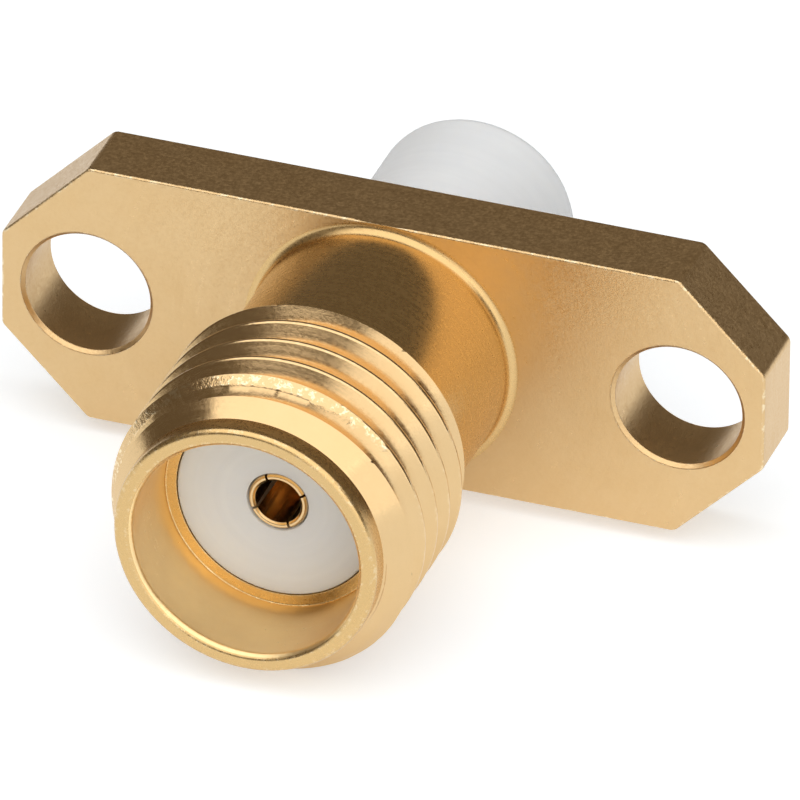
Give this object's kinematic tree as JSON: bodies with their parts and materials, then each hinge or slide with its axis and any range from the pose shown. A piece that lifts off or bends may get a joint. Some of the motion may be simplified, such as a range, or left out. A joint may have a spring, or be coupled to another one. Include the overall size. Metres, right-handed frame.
{
  "type": "coaxial panel jack with flange",
  "caption": "Gold-plated coaxial jack with a threaded barrel on a flat two-hole flange, a slotted socket contact and an insulator that extends behind the panel.",
  "frame": {"origin": "on the connector's axis, in the rear face of the flange, which seats on the panel", "axes": "+X along the flange, -Y out of the barrel towards the mating plug, +Z across the flange"},
  "size_m": [0.0158, 0.0152, 0.0063],
  "materials": {
    "gold_body": "satin gold plating with fine matte grain",
    "gold_contact": "smooth gold plating",
    "white_ptfe": "matte white, slightly waxy"
  },
  "bodies": {
    "root": {"body": "gold_body", "insulator": "white_ptfe", "centre_contact": "gold_contact"}
  },
  "joints": []
}
